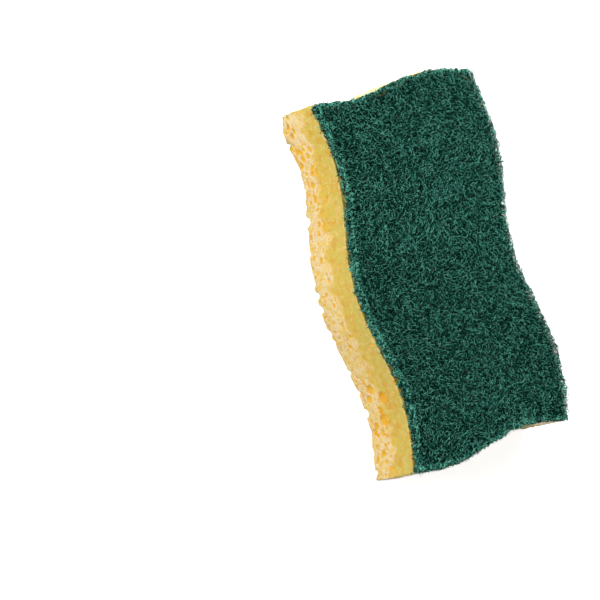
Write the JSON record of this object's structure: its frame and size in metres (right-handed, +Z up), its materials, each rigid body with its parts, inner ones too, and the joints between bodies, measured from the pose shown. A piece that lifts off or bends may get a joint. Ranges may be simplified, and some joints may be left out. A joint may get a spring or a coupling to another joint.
{
  "type": "cleaning sponge",
  "caption": "Wavy-edged cellulose sponge block with a non-woven scouring pad bonded on top, for washing up and wiping.",
  "frame": {"origin": "centre of the underside's bounding box, on the surface that the sponge lies on", "axes": "+X along the length, +Y across the width, +Z up from the underside to the scouring pad"},
  "size_m": [0.1348, 0.0846, 0.0238],
  "materials": {
    "cellulose": "damp cellulose sponge, dense yellow above, pale and open-pored below",
    "scouring_web": "matt non-woven web of resin-bonded curly fibres"
  },
  "bodies": {
    "root": {"sponge_block": "cellulose", "scouring_pad": "scouring_web"}
  },
  "joints": []
}
